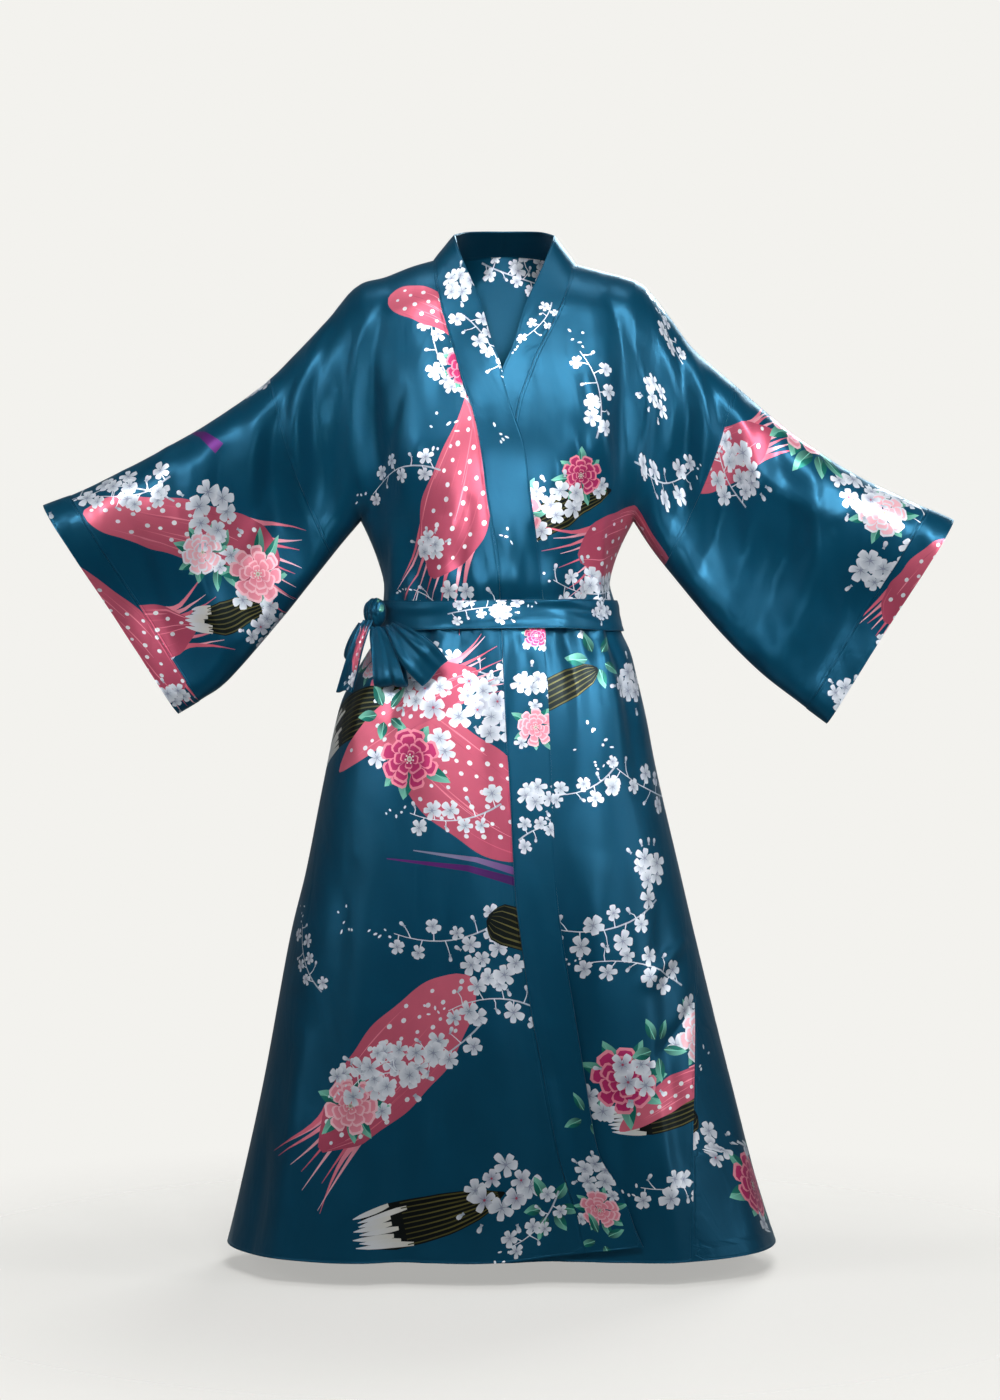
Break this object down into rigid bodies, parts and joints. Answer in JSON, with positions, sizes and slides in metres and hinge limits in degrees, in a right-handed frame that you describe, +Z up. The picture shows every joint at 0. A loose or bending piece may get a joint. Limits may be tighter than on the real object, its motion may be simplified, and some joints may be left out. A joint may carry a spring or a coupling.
{
  "type": "kimono robe",
  "caption": "Long satin wrap robe of kimono cut, worn form, with wide open sleeves, a long neck band and a narrow sash bowed at the hip.",
  "frame": {"origin": "midway between the two side-neck points, on the shoulder line, inside the hollow robe where the wearer's shoulders hold it", "axes": "+Z up along the wearer, the front of the robe faces -Y, +X towards the viewer's right seen from the front, which is the wearer's left"},
  "size_m": [1.1919, 0.3516, 1.328],
  "materials": {
    "satin_print": "satin",
    "satin_band": "satin",
    "satin_sash": "satin"
  },
  "bodies": {
    "root": {"back_panel": "satin_print", "front_right_upper": "satin_print", "front_left_lower": "satin_print", "sleeve_right": "satin_print", "sleeve_left": "satin_print", "cuff_band_right": "satin_band", "cuff_band_left": "satin_band", "neck_band_right": "satin_band", "neck_band_left": "satin_band", "sash": "satin_sash", "sash_knot": "satin_sash", "sash_loop_inner": "satin_sash", "sash_loop_outer": "satin_sash", "sash_loop_side": "satin_sash", "sash_tail": "satin_sash"}
  },
  "joints": []
}
